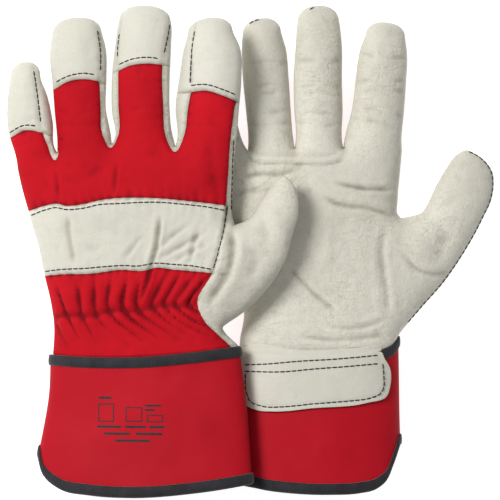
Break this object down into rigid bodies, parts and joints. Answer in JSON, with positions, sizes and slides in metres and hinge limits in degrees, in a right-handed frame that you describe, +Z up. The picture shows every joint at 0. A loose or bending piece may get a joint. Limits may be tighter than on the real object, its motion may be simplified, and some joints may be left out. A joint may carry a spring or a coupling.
{
  "type": "pair of gardening gloves",
  "caption": "Leather and cotton rigger gloves with stiff bound cuffs, lying one partly on the other",
  "frame": {"origin": "on the surface the gloves lie on, under the middle of the pair's bounding box", "axes": "+Y towards the fingertips, +X towards the thumbs, +Z up from the surface"},
  "size_m": [0.2673, 0.2709, 0.051],
  "materials": {
    "leather": "soft grained split leather, matte",
    "red_cotton": "fine twill, matte",
    "cuff_canvas": "stiff rubberised canvas, matte",
    "black_tape": "woven binding tape",
    "black_thread": "twisted thread",
    "elastic": "flat elastic band",
    "lining_cotton": "brushed cotton"
  },
  "bodies": {
    "right_hand": {"right_palm": "leather", "right_back_panel": "red_cotton", "right_knuckle_strap": "leather", "right_wrist_panel": "red_cotton", "right_wrist_elastic": "elastic", "right_palm_lining": "lining_cotton", "right_cuff": "cuff_canvas", "right_cuff_top_tape": "black_tape", "right_cuff_hem_tape": "black_tape", "right_pull_patch": "leather", "right_seam_thread": "black_thread"},
    "right_little": {"right_little_front": "leather", "right_little_back": "red_cotton", "right_little_tip_cap": "leather", "right_little_gusset": "leather"},
    "right_ring": {"right_ring_front": "leather", "right_ring_back": "red_cotton", "right_ring_tip_cap": "leather", "right_ring_gusset": "leather"},
    "right_middle": {"right_middle_front": "leather", "right_middle_back": "red_cotton", "right_middle_tip_cap": "leather", "right_middle_gusset": "leather"},
    "right_index": {"right_index_front": "leather", "right_index_back": "red_cotton", "right_index_tip_cap": "leather", "right_index_gusset": "leather"},
    "right_thumb": {"right_thumb_front": "leather", "right_thumb_back": "leather"},
    "left_hand": {"left_palm": "leather", "left_back_panel": "red_cotton", "left_knuckle_strap": "leather", "left_wrist_panel": "red_cotton", "left_wrist_elastic": "elastic", "left_palm_lining": "lining_cotton", "left_cuff": "cuff_canvas", "left_cuff_top_tape": "black_tape", "left_cuff_hem_tape": "black_tape", "left_pull_patch": "leather", "left_seam_thread": "black_thread"},
    "left_little": {"left_little_front": "leather", "left_little_back": "red_cotton", "left_little_tip_cap": "leather", "left_little_gusset": "leather"},
    "left_ring": {"left_ring_front": "leather", "left_ring_back": "red_cotton", "left_ring_tip_cap": "leather", "left_ring_gusset": "leather"},
    "left_middle": {"left_middle_front": "leather", "left_middle_back": "red_cotton", "left_middle_tip_cap": "leather", "left_middle_gusset": "leather"},
    "left_index": {"left_index_front": "leather", "left_index_back": "red_cotton", "left_index_tip_cap": "leather", "left_index_gusset": "leather"},
    "left_thumb": {"left_thumb_front": "leather", "left_thumb_back": "leather"}
  },
  "joints": [
    {"name": "left_glove_lift", "type": "slide", "parent": "right_hand", "child": "left_hand", "axis": [0, 0, 1], "range_m": [0, 0.2]},
    {"name": "right_little_flex", "type": "hinge", "parent": "right_hand", "child": "right_little", "pos_m": [-0.0144, 0.0563, 0.0226], "axis": [0.9796, 0.2011, 0], "range_deg": [0, 50.5]},
    {"name": "right_ring_flex", "type": "hinge", "parent": "right_hand", "child": "right_ring", "pos_m": [0.0108, 0.0673, 0.0231], "axis": [0.9976, 0.0689, 0], "range_deg": [0, 75], "stiffness_Nm_per_rad": 0.02},
    {"name": "right_middle_flex", "type": "hinge", "parent": "right_hand", "child": "right_middle", "pos_m": [0.0384, 0.0673, 0.0231], "axis": [1, 0.0044, 0], "range_deg": [0, 75], "stiffness_Nm_per_rad": 0.02},
    {"name": "right_index_flex", "type": "hinge", "parent": "right_hand", "child": "right_index", "pos_m": [0.0698, 0.0673, 0.0231], "axis": [0.9975, -0.0709, 0], "range_deg": [0, 75], "stiffness_Nm_per_rad": 0.02},
    {"name": "right_thumb_flex", "type": "hinge", "parent": "right_hand", "child": "right_thumb", "pos_m": [0.0828, -0.01375, 0.0291], "axis": [0, -1, 0], "range_deg": [0, 60], "stiffness_Nm_per_rad": 0.02},
    {"name": "left_little_flex", "type": "hinge", "parent": "left_hand", "child": "left_little", "pos_m": [-0.11664, 0.0596, 0.00648], "axis": [-0.9773, -0.0936, -0.19], "range_deg": [0, 50.5]},
    {"name": "left_ring_flex", "type": "hinge", "parent": "left_hand", "child": "left_ring", "pos_m": [-0.08985, 0.0651, 0.01118], "axis": [-0.9807, -0.0428, -0.1906], "range_deg": [0, 50.5]},
    {"name": "left_middle_flex", "type": "hinge", "parent": "left_hand", "child": "left_middle", "pos_m": [-0.05922, 0.0651, 0.01713], "axis": [-0.9807, 0.0431, -0.1906], "range_deg": [0, 50.5]},
    {"name": "left_index_flex", "type": "hinge", "parent": "left_hand", "child": "left_index", "pos_m": [-0.02388, 0.0635, 0.024], "axis": [-0.9791, 0.0723, -0.1903], "range_deg": [0, 50.5]},
    {"name": "left_thumb_flex", "type": "hinge", "parent": "left_hand", "child": "left_thumb", "pos_m": [-0.01261, -0.01175, 0.02314], "axis": [0.2278, 0.9727, 0.0443], "range_deg": [0, 50.5]}
  ],
  "couplings": [
    {"joint": "right_little_flex", "follows": "left_glove_lift", "rad_per_m": 4.3633},
    {"joint": "left_little_flex", "follows": "left_glove_lift", "rad_per_m": 4.3633},
    {"joint": "left_ring_flex", "follows": "left_glove_lift", "rad_per_m": 4.3633},
    {"joint": "left_middle_flex", "follows": "left_glove_lift", "rad_per_m": 4.3633},
    {"joint": "left_index_flex", "follows": "left_glove_lift", "rad_per_m": 4.3633},
    {"joint": "left_thumb_flex", "follows": "left_glove_lift", "rad_per_m": 4.3633}
  ]
}
